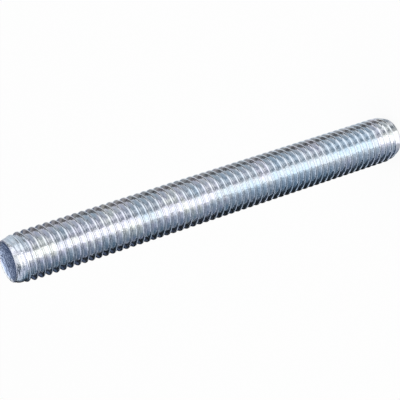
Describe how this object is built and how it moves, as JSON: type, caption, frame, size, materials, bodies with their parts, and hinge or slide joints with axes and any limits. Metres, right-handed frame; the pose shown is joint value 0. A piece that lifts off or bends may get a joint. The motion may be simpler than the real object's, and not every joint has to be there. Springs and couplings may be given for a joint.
{
  "type": "threaded rod",
  "caption": "Straight steel rod with a right-hand metric thread along its whole length and bevelled ends, for nuts and tapped holes.",
  "frame": {"origin": "centre of the lower end face, on the surface the rod stands on", "axes": "+Z along the rod's axis, from the lower end face to the upper one; +X through the crest that starts at the lower end face"},
  "size_m": [0.008, 0.008, 0.0745],
  "materials": {
    "zinc_plated_steel": "bright zinc plate, blue-passivated, on a rolled thread"
  },
  "bodies": {
    "root": {"threaded_rod": "zinc_plated_steel"}
  },
  "joints": []
}
